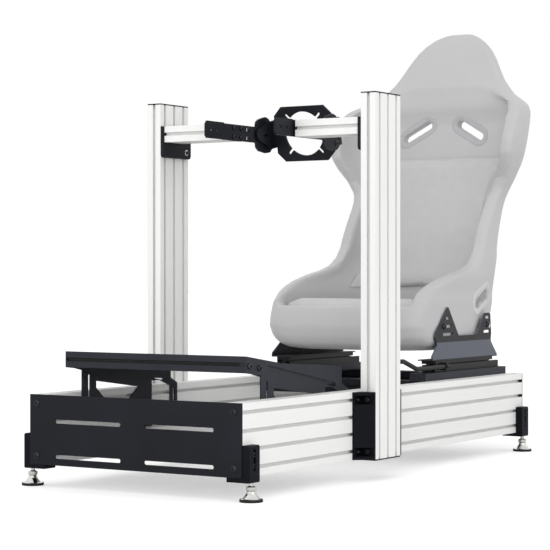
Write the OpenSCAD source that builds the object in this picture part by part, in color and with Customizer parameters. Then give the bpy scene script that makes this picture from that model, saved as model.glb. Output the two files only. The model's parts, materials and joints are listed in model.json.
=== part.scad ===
// Sim racing cockpit: a slotted-profile frame with a front plate, two uprights, two crossbars,
// a tilted wheel plate on two arms, a raised pedal tray and a bucket seat on sliding rails.
// Millimetres. The floor is z = 0, +Z is up, the driver faces -Y and +X is the driver's left.
// Slotted holes, plates and rails are plain extrusions; the seat is lofted from level sections.

/* [Frame] */
// Width over the two base rails
frame_width = 580; // [480:1:700]
// Length of a base rail
rail_length = 1394; // [1100:1:1700]
// Number of profile modules in a base rail's height
rail_modules = 4; // [3:1:5]
// Side of one profile module
module_size = 40; // [30:1:45]
// Width of a groove's mouth
groove_width = 8; // [5:0.5:10]
// Depth of a groove
groove_depth = 9; // [7:0.5:12]
// Height of the uprights
upright_height = 860; // [650:1:1000]
// Number of profile modules in an upright's depth
upright_modules = 3; // [3:1:5]
// Distance from the rails' front end to the uprights
upright_setback = 505; // [350:1:650]

/* [Front plate and feet] */
// Thickness of the front plate
plate_thickness = 4; // [2:0.5:10]
// Length of each slot in the front plate
plate_slot_length = 186; // [80:1:200]
// Height of each slot in the front plate
plate_slot_height = 9; // [5:0.5:14]
// Diameter of a levelling foot
foot_diameter = 50; // [35:1:65]
// Height of the base rails above the floor
floor_gap = 51; // [42:1:70]

/* [Wheel mount] */
// Height of the crossbars' underside above the rails' underside
crossbar_z = 765; // [600:1:880]
// Gap between the two crossbars
crossbar_gap = 204; // [170:1:260]
// Number of profile modules in a crossbar's depth
crossbar_modules = 2; // [1:1:2]
// Distance from the uprights' front faces to the crossbars
crossbar_setback = 4; // [0:1:30]
// Thickness of the mount arms
arm_thickness = 5; // [3:0.5:8]
// Tilt of the wheel plate
wheel_tilt = 12; // [0:0.5:25]
// Diameter of the wheel plate's opening
wheel_opening = 112; // [80:1:124]

/* [Pedal tray] */
// Height of the tray's front edge above the rails' underside
tray_front_z = 256; // [220:1:320]
// Height of the tray's rear edge above the rails' underside
tray_rear_z = 219; // [190:1:260]
// Sheet thickness of the tray
tray_sheet = 3; // [2:0.5:5]
// Height of the tray's front lip
tray_lip = 37; // [20:1:50]

/* [Seat] */
// Distance from the rails' rear end to the front of the seat base
base_setback = 489; // [420:1:560]
// Thickness of the seat shell at its sides
shell_side = 34; // [20:1:45]
// Thickness of the seat shell at its back
shell_back = 26; // [15:1:40]
// Thickness of the seat shell's floor
shell_floor = 36; // [20:1:50]
// Thickness of the back pad
pad_thickness = 14; // [6:1:22]
// Width of a harness opening
harness_height = 17; // [10:1:30]
// Length of a harness opening
harness_length = 74; // [40:1:90]
// Sideways distance from the middle to a harness opening
harness_offset = 84; // [70:1:100]

/* [Hidden] */

$fn = 48;
cut = 1;

// frame
rail_height = rail_modules * module_size;
upright_depth = upright_modules * module_size;
crossbar_depth = crossbar_modules * module_size;
half_width = frame_width / 2;
inner_x = half_width - module_size;
upright_x = half_width;
upright_outer = half_width + module_size;
rail_front = -upright_setback;
rail_rear = rail_front + rail_length;
plate_front = rail_front - plate_thickness;
cap_thickness = 3;
tongue_length = 9;
tongue_depth = 4;
tongue_play = 0.4;
lip_depth = 4.5;
groove_inner = 18;
core_radius = 3.4;

// front plate, feet and small sheets
plate_slot_x = 125;
plate_slot_rows = [0.5 * module_size, (rail_modules - 1.5) * module_size];
foot_block = 40;
foot_flange = 10;
foot_outer = half_width + 19;
foot_block_top = 70;
foot_x = half_width + 10;
foot_neck = 8;
foot_stud = 5;
corner_sheet = 5;
corner_height = rail_height - 2;
corner_pocket = 21;
corner_pocket_z = 18;
bolt_bore = 4.2;

// crossbars and wheel mount
crossbar_plate_sheet = 9;
crossbar_plate_drop = 38;
crossbar_length = upright_x - crossbar_plate_sheet - crossbar_gap / 2;
arm_front = -79;
arm_step = 2;
arm_slot_y = 44;
arm_slot_pitch = 32;
pivot_y = 155;
pivot_z = crossbar_z + 21;
pin_radius = 4;
pin_play = 0.1;
tilt_slot_radius = 62;
tilt_slot_span = 14;
arm_end = tilt_slot_radius + bolt_bore + 6;
tilt_pin_angle = -12;
plate_offset = 61;
plate_drop = -10;
wheel_sheet = 6;
wheel_half = 84;
wheel_rise = 70;
wheel_notch = 22;
wheel_slot_reach = 72;
ear_play = 0.5;
ear_sheet = 6;
ear_inner = crossbar_gap / 2 - arm_thickness - ear_play - ear_sheet;

// pedal tray
tray_half = inner_x - tray_sheet;
tray_front = 75;
tray_knee = 222;
tray_knee_z = tray_front_z - 21;
tray_rear = 485;
tray_foot_z = 60;
tray_bar = 9;
tray_groove = 5;
tray_flange = 45;

// seat base, sliders and brackets: y from the seat base's front, z from the rails' top
base_y = rail_rear - base_setback;
support_width = 46;
support_height = 20;
support_length = 469;
cross_inset = 10;
cross_rear = support_length - module_size - cross_inset;
slider_x = 219;
slider_width = 36;
slider_height = 18;
slider_mouth = 16;
slider_front = 73;
slider_rear = 448;
carriage_front = 71;
carriage_rear = 412;
carriage_top = 30;
latch_sheet = 3;
lever_radius = 6;
lever_hub = 10;
lever_tail = 66;
lever_straight = 115;
lever_run = 70;
lever_rise = 22;
lever_reach = 215;
lever_grip = 64;
lever_bend = 18;
latch_pin = 3;
latch_pin_y = 42;
latch_play = 0.05;
latch_face = slider_x + slider_width / 2 + latch_sheet + 1.5;
lever_x = latch_face + lever_radius + 0.5;
lever_z = support_height + 14;
bracket_x = 236;
bracket_sheet = 3;
bracket_flare = 6;
boss_radius = 13;
boss_length = 44;
lip_z = 190;
harness_z = 678;
harness_turn = 32;
lap_y = 365;
lap_z = 206;
lap_turn = 23;
lap_length = 90;
lap_width = 26;
boss_places = [124, 376];
boss_z = 137;
cushion_trim_y = 40;
cushion_trim_z = 206;
cushion_slope = 4;

// seat shape, from the same origin, section by section:
// [height, front, half width, front corner radius, how far the rear bulges]
seat_base_z = 74;
seat_tilt = 0.3;
back_ref_y = 595;
back_ref_z = 670;
function back_y(z) = back_ref_y + seat_tilt * (z - back_ref_z);
shell_levels = [
    [74, 88, 176, 96, 0], [80, 56, 198, 92, 0], [91, 30, 216, 80, 0], [110, 12, 228, 64, 10],
    [140, 2, 234, 50, 28], [170, 6, 235, 48, 44], [200, 18, 236, 46, 52], [224, 42, 234, 42, 52],
    [240, 75, 235, 38, 48], [255, 122, 236, 34, 41], [270, 188, 236, 30, 32],
    [283, 262, 234, 26, 21], [298, 318, 233, 22, 11], [320, 358, 232, 18, 4],
    [345, 378, 229, 16, 0], [380, 397, 228, 14, 0], [415, 420, 228, 14, 0], [450, 443, 228, 14, 0],
    [478, 465, 230, 14, 0], [505, 480, 238, 14, 0], [540, 476, 256, 14, 0], [575, 452, 274, 14, 0],
    [605, 436, 284, 14, 0], [640, 436, 288, 14, 0], [670, 448, 288, 14, 0], [700, 468, 286, 14, 0],
    [725, 492, 281, 14, 0], [742, 516, 271, 14, 0], [755, 542, 254, 14, 0], [766, 562, 234, 14, 0],
    [780, 584, 208, 12, 0], [800, 602, 185, 12, 0], [825, 616, 164, 10, 0], [855, 630, 146, 9, 0],
    [885, 642, 130, 8, 0], [915, 654, 110, 7, 0], [938, 664, 88, 7, 0], [954, 674, 66, 6, 0],
    [965, 686, 44, 5, 0], [970, 696, 24, 4, 0]
];
shell_top = shell_levels[len(shell_levels) - 1][0];

// overall placing
seat_rear = base_y + back_y(shell_top) + shell_back;
foot_front = rail_front - 2 + foot_block / 2 - foot_diameter / 2;
y_shift = (min(plate_front, foot_front) + seat_rear) / 2;

module place() {
    translate([0, -y_shift, floor_gap])
        children();
}

// origin of the seat group: the seat base's front, level with the rails' top
module seat_place() {
    place()
        translate([0, base_y, rail_height])
            children();
}

module mirror_x(side) {
    if (side > 0)
        children();
    else
        mirror([1, 0, 0])
            children();
}

// profile section, nx by ny modules, lower left corner at the origin
module groove_2d() {
    polygon([
        [-groove_width / 2, 0.01], [groove_width / 2, 0.01],
        [groove_width / 2, -lip_depth], [groove_inner / 2, -lip_depth],
        [groove_inner / 2, -lip_depth - 2], [groove_width / 2, -groove_depth],
        [-groove_width / 2, -groove_depth], [-groove_inner / 2, -lip_depth - 2],
        [-groove_inner / 2, -lip_depth], [-groove_width / 2, -lip_depth]
    ]);
}

module profile_2d(nx, ny) {
    w = nx * module_size;
    h = ny * module_size;
    difference() {
        square([w, h]);
        for (i = [0 : nx - 1]) {
            x = (i + 0.5) * module_size;
            translate([x, h])
                groove_2d();
            translate([x, 0])
                rotate(180)
                    groove_2d();
        }
        for (j = [0 : ny - 1]) {
            y = (j + 0.5) * module_size;
            translate([w, y])
                rotate(-90)
                    groove_2d();
            translate([0, y])
                rotate(90)
                    groove_2d();
        }
        for (i = [0 : nx - 1], j = [0 : ny - 1])
            translate([(i + 0.5) * module_size, (j + 0.5) * module_size])
                circle(core_radius);
    }
}

// round-ended slot in the XY plane, centred, long along X
module slot_2d(length, height) {
    square([length - height, height], center = true);
    for (s = [-1, 1])
        translate([s * (length - height) / 2, 0])
            circle(height / 2);
}

// plate drawn in (Y, Z) and thickened along +X from x0
module side_plate(x0, t) {
    translate([x0, 0, 0])
        rotate([90, 0, 90])
            linear_extrude(t)
                children();
}

// base rails
module base_rail(side) {
    color([0.93, 0.93, 0.91])
        place()
            mirror_x(side)
                translate([inner_x, rail_rear, 0])
                    rotate([90, 0, 0])
                        linear_extrude(rail_length)
                            profile_2d(1, rail_modules);
}

module rail_cap(side) {
    tongue = groove_width - 2 * tongue_play;
    color([0.05, 0.05, 0.06])
        place()
            mirror_x(side)
                union() {
                    translate([inner_x, rail_rear, 0])
                        cube([module_size, cap_thickness, rail_height]);
                    for (j = [0 : rail_modules - 1])
                        translate([half_width - tongue_depth, rail_rear - tongue_length, 0])
                            translate([0, 0, (j + 0.5) * module_size - tongue / 2])
                                cube([tongue_depth, tongue_length + cut, tongue]);
                }
}

// front plate
module front_plate() {
    color([0.10, 0.10, 0.12])
        place()
            translate([0, plate_front, rail_height / 2])
                rotate([-90, 0, 0])
                    linear_extrude(plate_thickness)
                        difference() {
                            square([frame_width, rail_height], center = true);
                            for (sx = [-1, 1], z = plate_slot_rows)
                                translate([sx * plate_slot_x, rail_height / 2 - z])
                                    slot_2d(plate_slot_length, plate_slot_height);
                        }
}

// feet
module foot_bracket(side, y0) {
    color([0.07, 0.07, 0.08])
        place()
            mirror_x(side)
                difference() {
                    translate([0, y0 + foot_block, 0])
                        rotate([90, 0, 0])
                            linear_extrude(foot_block)
                                polygon([
                                    [inner_x, -foot_flange], [foot_outer - 2, -foot_flange],
                                    [foot_outer, -foot_flange + 2], [foot_outer, foot_block_top - 3],
                                    [foot_outer - 3, foot_block_top], [half_width, foot_block_top],
                                    [half_width, 0], [inner_x, 0]
                                ]);
                    translate([foot_outer - 6, y0 + foot_block / 2, foot_block_top / 2 + 4])
                        rotate([90, 90, 90])
                            linear_extrude(6 + cut)
                                slot_2d(48, 8);
                }
}

module levelling_foot(side, y0) {
    r = foot_diameter / 2;
    h = floor_gap - foot_flange;
    color([0.75, 0.75, 0.77])
        place()
            mirror_x(side)
                translate([foot_x, y0 + foot_block / 2, -floor_gap])
                    rotate_extrude()
                        polygon([
                            [0, 0], [r - 1, 0], [r, 1], [r, 4], [r - 2, 6], [r - 6, 7],
                            [foot_neck + 3, h * 0.42], [foot_neck + 1, h * 0.55],
                            [foot_neck + 3, h * 0.62], [foot_neck + 3, h * 0.78],
                            [foot_stud, h * 0.84], [foot_stud, h], [0, h]
                        ]);
}

// uprights
module upright(side) {
    color([0.93, 0.93, 0.91])
        place()
            mirror_x(side)
                translate([upright_x, 0, 0])
                    linear_extrude(upright_height)
                        profile_2d(1, upright_modules);
}

// one cap on each end of an upright
module upright_cap(side) {
    color([0.05, 0.05, 0.06])
        place()
            mirror_x(side)
                for (z = [-cap_thickness, upright_height])
                    translate([upright_x, 0, z])
                        cube([module_size, upright_depth, cap_thickness]);
}

// cast bracket in the corner between a rail's outer face and an upright, with a pocket for each bolt
module corner_bracket(side, y0, back) {
    leg = module_size;
    t = corner_sheet;
    color([0.07, 0.07, 0.08])
        place()
            mirror_x(side)
                translate([half_width, y0, 0])
                    mirror([0, back ? 1 : 0, 0])
                        difference() {
                            linear_extrude(corner_height)
                                polygon([[0, 0], [leg, 0], [leg, -t], [t, -leg], [0, -leg]]);
                            for (z = [corner_pocket_z, corner_height - corner_pocket_z])
                                translate([0, 0, z]) {
                                    translate([t, -leg - cut, -corner_pocket / 2])
                                        cube([leg, leg - t + cut, corner_pocket]);
                                    translate([leg / 2 + t / 2, cut, 0])
                                        rotate([90, 0, 0])
                                            cylinder(h = t + 2 * cut, r = bolt_bore);
                                    translate([-cut, -leg / 2 - t / 2, 0])
                                        rotate([0, 90, 0])
                                            cylinder(h = t + 2 * cut, r = bolt_bore);
                                }
                        }
}

// crossbars
module crossbar(side) {
    color([0.93, 0.93, 0.91])
        place()
            mirror_x(side)
                translate([crossbar_gap / 2, crossbar_setback, crossbar_z])
                    rotate([90, 0, 90])
                        linear_extrude(crossbar_length)
                            profile_2d(crossbar_modules, 1);
}

module crossbar_plate(side) {
    top = crossbar_z + module_size;
    low = crossbar_z - crossbar_plate_drop;
    color([0.07, 0.07, 0.08])
        place()
            mirror_x(side)
                side_plate(upright_x - crossbar_plate_sheet, crossbar_plate_sheet)
                    difference() {
                        polygon([
                            [0, top], [0, low + 8], [2.4, low + 2.4], [8, low],
                            [upright_depth - 8, low], [upright_depth - 2.4, low + 2.4],
                            [upright_depth, low + 8], [upright_depth, top]
                        ]);
                        translate([upright_depth - module_size / 2, low + 16])
                            circle(bolt_bore);
                    }
}

// wheel mount
module arm_slot_2d() {
    difference() {
        circle(tilt_slot_radius + 4.2);
        circle(tilt_slot_radius - 4.2);
        rotate(tilt_slot_span)
            translate([-200, 0])
                square([400, 400]);
        rotate(-tilt_slot_span)
            translate([-200, -400])
                square([400, 400]);
    }
}

module mount_arm(side) {
    top = crossbar_z + module_size;
    low = crossbar_z;
    color([0.07, 0.07, 0.08])
        place()
            mirror_x(side)
                side_plate(crossbar_gap / 2 - arm_thickness, arm_thickness)
                    difference() {
                        union() {
                            polygon([
                                [arm_front + 6, low], [arm_front, low + 6], [arm_front, top - 6],
                                [arm_front + 6, top + arm_step], [0, top + arm_step], [0, top],
                                [pivot_y, top], [pivot_y, low]
                            ]);
                            translate([pivot_y, pivot_z])
                                polygon([
                                    [-12, top - pivot_z], [-9, 32], [2, 39], [20, 44], [34, 47], [48, 43],
                                    [arm_end - 10, 30], [arm_end, 12], [arm_end, -18],
                                    [arm_end - 6, -32], [arm_end - 18, -42], [35, -45], [4, -41],
                                    [-8, -33], [-11, low - pivot_z]
                                ]);
                        }
                        for (y = [arm_front + 25, arm_front + 52])
                            translate([y, crossbar_z + module_size / 2])
                                circle(bolt_bore);
                        for (i = [0 : 2], v = [9, 31])
                            translate([arm_slot_y + i * arm_slot_pitch, crossbar_z + v])
                                square([15, 8], center = true);
                        translate([pivot_y, pivot_z])
                            circle(pin_radius + pin_play);
                        translate([pivot_y, pivot_z])
                            arm_slot_2d();
                    }
}

module wheel_pin() {
    translate([ear_inner + ear_sheet - cut, 0, 0])
        rotate([0, 90, 0])
            cylinder(h = ear_play + arm_thickness + cut, r = pin_radius);
}

module wheel_plate() {
    color([0.08, 0.08, 0.09])
        place()
            translate([0, pivot_y, pivot_z])
                rotate([wheel_tilt, 0, 0])
                    union() {
                        translate([0, plate_offset + wheel_sheet, plate_drop])
                            rotate([90, 0, 0])
                                linear_extrude(wheel_sheet)
                                    wheel_plate_2d();
                        for (s = [-1, 1])
                            mirror_x(s) {
                                side_plate(ear_inner, ear_sheet)
                                    difference() {
                                        polygon([
                                            [-14, -7], [-14, 7], [-7, 14], [46, 26],
                                            [plate_offset + 20, 26], [plate_offset + 20, -44],
                                            [46, -44], [-7, -14]
                                        ]);
                                        translate([26, -6])
                                            slot_2d(16, 6);
                                    }
                                wheel_pin();
                                rotate([tilt_pin_angle, 0, 0])
                                    translate([0, tilt_slot_radius, 0])
                                        wheel_pin();
                            }
                    }
}

module wheel_plate_2d() {
    difference() {
        union() {
            square([2 * wheel_half, 2 * wheel_rise], center = true);
            square([2 * ear_inner + 1, 66], center = true);
        }
        for (sx = [-1, 1], sy = [-1, 1])
            translate([sx * wheel_half, sy * wheel_rise])
                rotate(45)
                    square(wheel_notch * sqrt(2), center = true);
        circle(wheel_opening / 2);
        for (a = [45 : 90 : 315])
            rotate(a)
                translate([wheel_slot_reach - 15, 0])
                    slot_2d(30, 7);
    }
}

// pedal tray: y from the rails' front end
module tray_place() {
    place()
        translate([0, rail_front, 0])
            children();
}

module pedal_tray() {
    t = tray_sheet;
    mid = tray_front_z - tray_lip / 2;
    low = tray_front_z - tray_lip;
    color([0.11, 0.11, 0.14])
        tray_place()
            difference() {
                union() {
                    translate([-tray_half, 0, 0])
                        rotate([90, 0, 90])
                            linear_extrude(2 * tray_half)
                                polygon([
                                    [tray_front, tray_front_z], [tray_knee, tray_knee_z],
                                    [tray_rear, tray_rear_z], [tray_rear, tray_rear_z - t],
                                    [tray_knee, tray_knee_z - t],
                                    [tray_front + tray_bar, tray_front_z - t - 1],
                                    [tray_front + tray_bar, low + t], [tray_front + 34, low + t],
                                    [tray_front + 34, low], [tray_front, low],
                                    [tray_front, mid - groove_width / 2],
                                    [tray_front + tray_groove, mid - groove_width / 2],
                                    [tray_front + tray_groove, mid + groove_width / 2],
                                    [tray_front, mid + groove_width / 2]
                                ]);
                    for (s = [-1, 1])
                        mirror_x(s)
                            side_plate(tray_half - t, t)
                                polygon([
                                    [tray_front + tray_bar - cut, tray_front_z - t],
                                    [tray_knee, tray_knee_z - t / 2], [tray_rear, tray_rear_z - t / 2],
                                    [tray_rear, tray_rear_z - tray_flange],
                                    [tray_knee, tray_knee_z - tray_flange],
                                    [tray_front + tray_bar - cut, low + cut]
                                ]);
                }
                for (x = [-1, -0.4, 0.4, 1])
                    translate([x * (tray_half - 60), (tray_knee + tray_rear) / 2, tray_rear_z - 20])
                        rotate([0, 0, 90])
                            linear_extrude(60)
                                slot_2d(190, 9);
            }
}

module pedal_side(side) {
    low = tray_foot_z;
    slope = atan2(tray_rear_z - tray_front_z, tray_rear - tray_front);
    color([0.12, 0.12, 0.13])
        tray_place()
            mirror_x(side)
                side_plate(tray_half, tray_sheet)
                    difference() {
                        polygon([
                            [tray_front, tray_front_z], [tray_knee, tray_knee_z],
                            [tray_rear, tray_rear_z], [tray_rear, 178], [517, 162], [517, low],
                            [487, low], [487, 156], [441, 172], [409, 172], [409, low], [345, low],
                            [335, 85], [176, 95], [134, 112], [134, 212],
                            [tray_front, tray_front_z - tray_lip]
                        ]);
                        for (y = [13, 52])
                            translate([tray_front + y, tray_front_z - 20 - y * 0.15])
                                circle(5.5);
                        translate([309, 202])
                            rotate(2 * slope)
                                slot_2d(300, 9);
                        polygon([[187, 182], [187, 166], [243, 120], [300, 120], [355, 160]]);
                        translate([160, 160])
                            rotate(90)
                                slot_2d(78, 7);
                        translate([502, 132])
                            rotate(90)
                                slot_2d(34, 7);
                    }
}

// seat base
module cross_member(y0) {
    color([0.06, 0.06, 0.07])
        seat_place()
            translate([-inner_x, y0, -module_size])
                rotate([90, 0, 90])
                    linear_extrude(2 * inner_x)
                        profile_2d(1, 1);
}

// flat tube with a closed front end
module seat_support(side) {
    t = 2.5;
    color([0.12, 0.12, 0.14])
        seat_place()
            mirror_x(side)
                difference() {
                    translate([inner_x - support_width, 0, 0])
                        cube([support_width, support_length, support_height]);
                    translate([inner_x - support_width + t, t, t])
                        cube([support_width - 2 * t, support_length, support_height - 2 * t]);
                }
}

// fixed rail of a slider, open along its top
module slider_rail(side) {
    w = slider_width;
    h = slider_height;
    m = slider_mouth / 2;
    t = 2;
    color([0.05, 0.05, 0.05])
        seat_place()
            mirror_x(side)
                translate([slider_x, slider_rear, support_height])
                    rotate([90, 0, 0])
                        linear_extrude(slider_rear - slider_front)
                            polygon([
                                [-w / 2, 0], [w / 2, 0], [w / 2, h], [m, h], [m, h - 5], [m + t, h - 5],
                                [m + t, h - t], [w / 2 - t, h - t], [w / 2 - t, t], [-w / 2 + t, t],
                                [-w / 2 + t, h - t], [-m - t, h - t], [-m - t, h - 5], [-m, h - 5],
                                [-m, h], [-w / 2, h]
                            ]);
}

module slider_carriage(side) {
    w = slider_width;
    h = slider_height;
    z0 = 2;
    color([0.06, 0.06, 0.06])
        seat_place()
            mirror_x(side)
                union() {
                    translate([slider_x, carriage_rear, support_height])
                        rotate([90, 0, 0])
                            linear_extrude(carriage_rear - carriage_front)
                                polygon([
                                    [-11, z0], [11, z0], [11, z0 + 6], [5, z0 + 6], [5, h + 3],
                                    [w / 2, h + 3], [w / 2, carriage_top], [-w / 2, carriage_top],
                                    [-w / 2, h + 3], [-5, h + 3], [-5, z0 + 6], [-11, z0 + 6]
                                ]);
                    translate([slider_x + w / 2 - 1, carriage_front, support_height + 2])
                        difference() {
                            cube([latch_face - slider_x - w / 2 + 1, 70, carriage_top - 2]);
                            translate([-cut, -cut, -cut])
                                cube([2.5 + cut, 70 + 2 * cut, h + 2.5]);
                        }
                    if (side > 0)
                        translate([latch_face - cut, carriage_front + latch_pin_y, lever_z])
                            rotate([0, 90, 0])
                                cylinder(h = cut + 2 * lever_radius + 2, r = latch_pin);
                }
}

// points along a path with its corners rounded, for bent rod
function unit(v) = v / norm(v);
function corner_arc(a, b, c, radius, steps) =
    let (
        u = unit(a - b),
        w = unit(c - b),
        half_angle = acos(u * w) / 2,
        centre = b + unit(u + w) * radius / sin(half_angle),
        from = unit(b + u * radius / tan(half_angle) - centre),
        to = unit(b + w * radius / tan(half_angle) - centre),
        turn = 180 - 2 * half_angle
    )
    [for (i = [0 : steps])
        let (a = turn * (steps - i) / steps, b = turn * i / steps)
            centre + radius * (sin(a) * from + sin(b) * to) / sin(turn)];
function bent_path(corners, radius, steps) = concat(
    [corners[0]],
    [for (i = [1 : len(corners) - 2])
        each corner_arc(corners[i - 1], corners[i], corners[i + 1], radius, steps)],
    [corners[len(corners) - 1]]
);

// round rod along a path
module rod(path, r, sides) {
    n = len(path);
    function heading(i) =
        i == 0 ? unit(path[1] - path[0])
        : i == n - 1 ? unit(path[n - 1] - path[n - 2])
        : unit(unit(path[i + 1] - path[i]) + unit(path[i] - path[i - 1]));
    loft([
        for (i = [0 : n - 1])
            let (d = heading(i), u = unit(cross(d, [0.05, 0.02, 1])), v = cross(d, u))
                [for (j = [0 : sides - 1])
                    path[i] + r * (cos(360 * j / sides) * u - sin(360 * j / sides) * v)]
    ]);
}

// bent rod with a hub that turns on the latch pin
module release_lever() {
    r = lever_radius;
    corners = [
        [0, lever_tail, 0], [0, -lever_straight, 0], [0, -lever_straight - lever_run, lever_rise],
        [0, -lever_reach, lever_rise], [-lever_grip, -lever_reach, lever_rise]
    ];
    color([0.04, 0.04, 0.05])
        seat_place()
            translate([lever_x, carriage_front, lever_z])
                difference() {
                    union() {
                        rod(bent_path(corners, lever_bend, 4), r, 16);
                        translate([-r, latch_pin_y, 0])
                            rotate([0, 90, 0])
                                cylinder(h = 2 * r, r = lever_hub);
                    }
                    translate([-r - cut, latch_pin_y, 0])
                        rotate([0, 90, 0])
                            cylinder(h = 2 * (r + cut), r = latch_pin + latch_play);
                }
}

module seat_bracket(side) {
    b = bracket_x;
    t = bracket_sheet;
    f = support_height + carriage_top;
    edge = slider_x - slider_width / 2;
    color([0.11, 0.11, 0.13])
        seat_place()
            mirror_x(side) {
                side_plate(b, t)
                    difference() {
                        polygon([
                            [82, 96], [399, 96], [402, 112], [397, 162], [392, 168], [360, 168],
                            [354, 162], [316, 111], [208, 111], [150, 185], [144, 187], [138, 183],
                            [90, 138], [74, 122], [72, 110]
                        ]);
                        for (i = [0 : 2])
                            translate([146, 158 - 21 * i])
                                slot_2d(22 + 17 * i, 8);
                        for (i = [0 : 2])
                            translate([378 - 3 * i, 156 - 19 * i])
                                slot_2d(24 + 7 * i, 7);
                    }
                intersection() {
                    translate([0, support_length, 0])
                        rotate([90, 0, 0])
                            linear_extrude(support_length)
                                polygon([
                                    [b, 100], [b + t, 100], [b + t, 96], [b + bracket_flare + t, f + t],
                                    [b + bracket_flare + t, f], [edge, f], [edge, f + t],
                                    [b + bracket_flare - 1, f + t], [b, 95]
                                ]);
                    side_plate(edge - cut, slider_width + module_size)
                        polygon([
                            [49, f - 1], [425, f - 1], [425, f + 6], [399, 90],
                            [399, 101], [82, 101], [82, 88], [49, f + 12]
                        ]);
                }
            }
}

// seat shape
function shell_arc(z, front, half, rear, steps) = [
    for (i = [-steps : steps])
        let (a = 90 * i / steps, sx = sign(a))
            [
                sx * half * pow(abs(sin(a)), 0.4),
                front + (rear - front) * pow(abs(cos(a)), 0.4),
                z
            ]
];

// closed loft through rings that all have the same number of points, lowest ring first
module loft(rings) {
    m = len(rings[0]);
    n = len(rings);
    points = [for (ring = rings, p = ring) p];
    faces = concat(
        [[for (j = [m - 1 : -1 : 0]) j]],
        [for (i = [0 : n - 2], j = [0 : m - 1], half = [0, 1])
            half == 0
            ? [i * m + j, i * m + (j + 1) % m, (i + 1) * m + (j + 1) % m]
            : [i * m + j, (i + 1) * m + (j + 1) % m, (i + 1) * m + j]],
        [[for (j = [0 : m - 1]) (n - 1) * m + j]]
    );
    polyhedron(points = points, faces = faces, convexity = 8);
}

arc_steps = 9;
corner_steps = 4;
function shell_ring(z, front, half, rear, corner) =
    let (arc = shell_arc(z, front, half, rear, arc_steps))
        concat(
            [for (i = [0 : corner_steps])
                let (a = 90 * i / corner_steps)
                    [-half + corner * (1 - sin(a)), front + corner * (1 - cos(a)), z]],
            [for (i = [1 : 2 * arc_steps - 1]) arc[i]],
            [for (i = [0 : corner_steps])
                let (a = 90 * i / corner_steps)
                    [half - corner * (1 - cos(a)), front + corner * (1 - sin(a)), z]]
        );
shell_outer = [
    for (s = shell_levels)
        let (rear = max(back_y(s[0]) + shell_back + s[4], s[1] + 16))
            shell_ring(s[0], s[1], s[2], rear, s[3])
];
fade_z = 700;
fade_height = 140;
function fade(z) = pow(max(0, z - fade_z) / fade_height, 1.5);
function cavity_rear(z) = back_y(z) - fade(z) * (back_y(z) - level_front(z) + 14);
cavity_top = fade_z + fade_height + 10;
cavity_levels = concat([lip_z], [for (s = shell_levels) if (s[0] > lip_z && s[0] < cavity_top) s[0]]);
cavity_upper = [
    for (z = cavity_levels)
        shell_arc(z, level_front(z) - 40, level_half(z) - shell_side, cavity_rear(z), arc_steps)
];

function level_at(z, k) = lookup(z, [for (s = shell_levels) [s[0], s[k]]]);
function level_front(z) = level_at(z, 1);
function level_half(z) = level_at(z, 2);

// the pan below the rim, where the seat cushion lies
shell_front = 34;
cushion_play = 1;
pan_levels = [seat_base_z + shell_floor, 140, 170, lip_z + 1];
function pan_front(z) = level_front(z) + shell_front;

// harness openings run through the back, lap belt openings through the sides
module harness_openings() {
    for (s = [-1, 1])
        translate([s * harness_offset, back_y(harness_z) - 120, harness_z])
            rotate([-90, 0, 0])
                rotate(s * -harness_turn)
                    linear_extrude(260)
                        slot_2d(harness_length, harness_height);
}

module lap_openings() {
    reach = level_half(lap_z) - shell_side - 2 * cut;
    for (s = [-1, 1])
        mirror_x(s)
            translate([reach, lap_y, lap_z])
                rotate([90, 0, 90])
                    rotate(lap_turn)
                        linear_extrude(module_size + shell_side)
                            slot_2d(lap_length, lap_width);
}

module seat_shell() {
    color([0.72, 0.72, 0.72])
        seat_place()
            difference() {
                union() {
                    loft(shell_outer);
                    for (s = [-1, 1], y = boss_places)
                        mirror_x(s)
                            translate([bracket_x - boss_length, y, boss_z])
                                rotate([0, 90, 0])
                                    cylinder(h = boss_length, r = boss_radius);
                }
                loft(cavity_upper);
                loft([for (z = pan_levels)
                    shell_arc(z, pan_front(z), level_half(z) - shell_side, back_y(z), arc_steps)]);
                harness_openings();
                lap_openings();
            }
}

module seat_cushion() {
    color([0.66, 0.66, 0.66])
        seat_place()
            difference() {
                loft([for (z = concat(pan_levels, [lip_z + 10, lip_z + 18]))
                    let (
                        w = level_half(z) - shell_side - cushion_play - max(0, z - lip_z) * 0.6,
                        rear = back_y(z) - 2 - pad_thickness
                    )
                        shell_arc(z, pan_front(z) + cushion_play, w, rear, arc_steps)]);
                translate([-half_width, cushion_trim_y, cushion_trim_z])
                    rotate([-cushion_slope, 0, 0])
                        cube([frame_width, support_length, module_size]);
            }
}

module back_cushion() {
    color([0.66, 0.66, 0.66])
        seat_place()
            difference() {
                loft([for (z = pad_levels) pad_ring(z)]);
                translate([-half_width, 0, pad_levels[0] - cut])
                    cube([frame_width, back_ref_y, cut + pad_trim]);
            }
}

// the pad follows the shell's inner face and thins towards its edges
pad_trim = 6;
pad_play = 1;
pad_low = 224;
pad_high = 630;
pad_levels = [for (s = shell_levels) if (s[0] >= pad_low && s[0] < pad_high) s[0]];
function pad_edge(z) = min(1, (z - pad_low + 12) / 50, (pad_high - 10 - z) / 40);
function pad_ring(z) =
    let (
        half = level_half(z) - shell_side - pad_play,
        arc = shell_arc(z, level_front(z) - 40, half, cavity_rear(z) - pad_play, arc_steps),
        k = 6,
        n = arc_steps
    )
    concat(
        [for (i = [-k : k]) arc[n + i]],
        [for (i = [k : -1 : -k])
            let (t = 4 + pad_thickness * pad_edge(z) * (1 - abs(i) / (k + 1)))
                [arc[n + i][0] * 0.97, arc[n + i][1] - t, z]]
    );

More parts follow.
